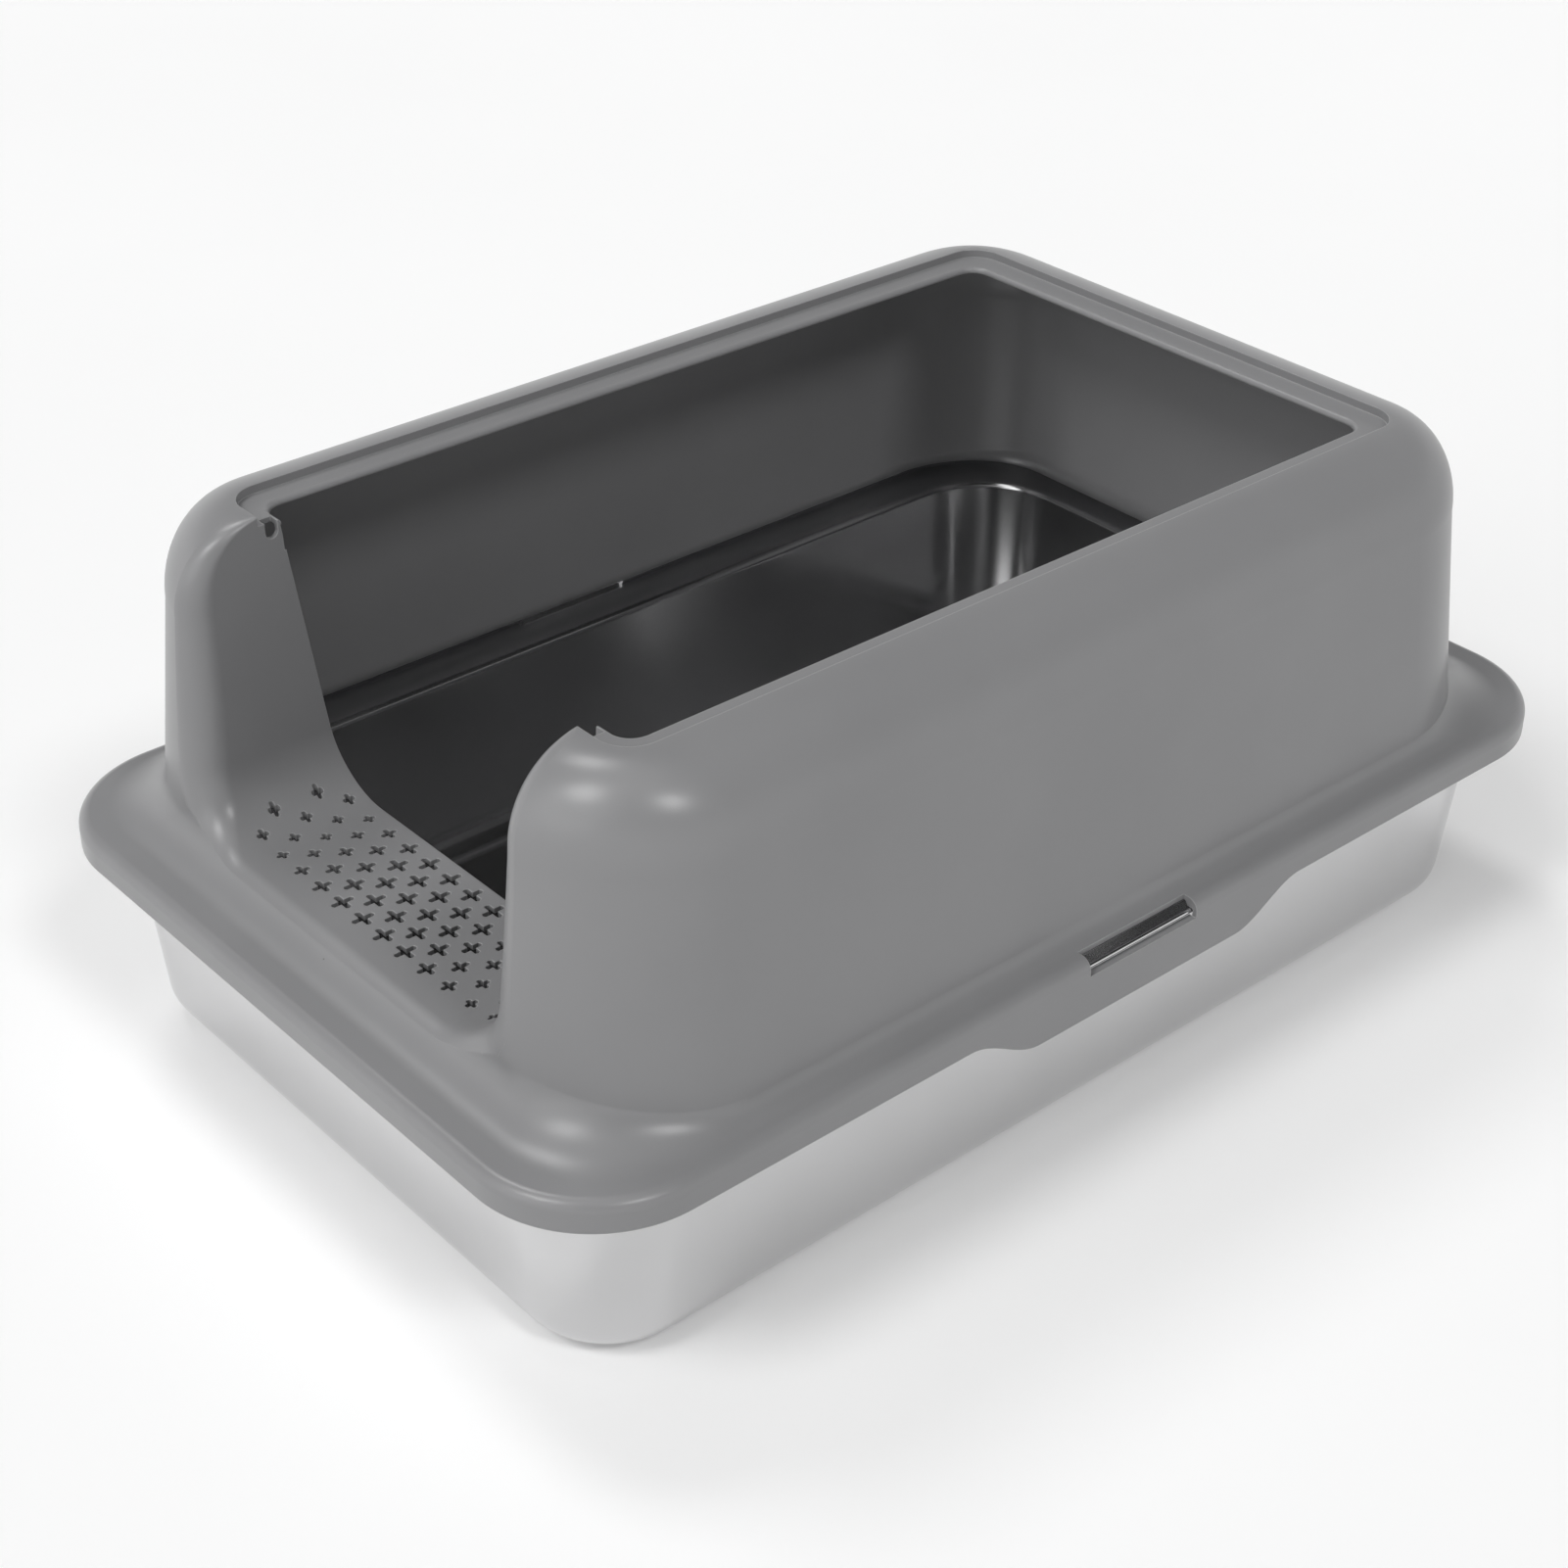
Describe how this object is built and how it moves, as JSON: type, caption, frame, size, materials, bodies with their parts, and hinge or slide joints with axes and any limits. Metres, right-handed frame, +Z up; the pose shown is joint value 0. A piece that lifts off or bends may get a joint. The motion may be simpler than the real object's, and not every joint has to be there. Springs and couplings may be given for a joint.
{
  "type": "litter box",
  "caption": "Pressed steel litter pan with a lift-off grey plastic enclosure, open on top, with a low flared entrance over a perforated step.",
  "frame": {"origin": "centre of the box's outline from above, on the floor under its feet", "axes": "+Z up, +Y along the box's length towards its closed back, so the entrance faces -Y, +X across it"},
  "size_m": [0.396, 0.6, 0.2537],
  "materials": {
    "stainless_steel": "satin, lightly brushed",
    "grey_plastic": "satin, fine moulded grain",
    "foot_rubber": "dull"
  },
  "bodies": {
    "pan": {"steel_pan": "stainless_steel", "foot_pad_1": "foot_rubber", "foot_pad_2": "foot_rubber", "foot_pad_3": "foot_rubber", "foot_pad_4": "foot_rubber"},
    "enclosure": {"enclosure": "grey_plastic"}
  },
  "joints": [
    {"name": "enclosure_lift", "type": "slide", "parent": "pan", "child": "enclosure", "axis": [0, 0, 1], "range_m": [0, 0.15]}
  ]
}
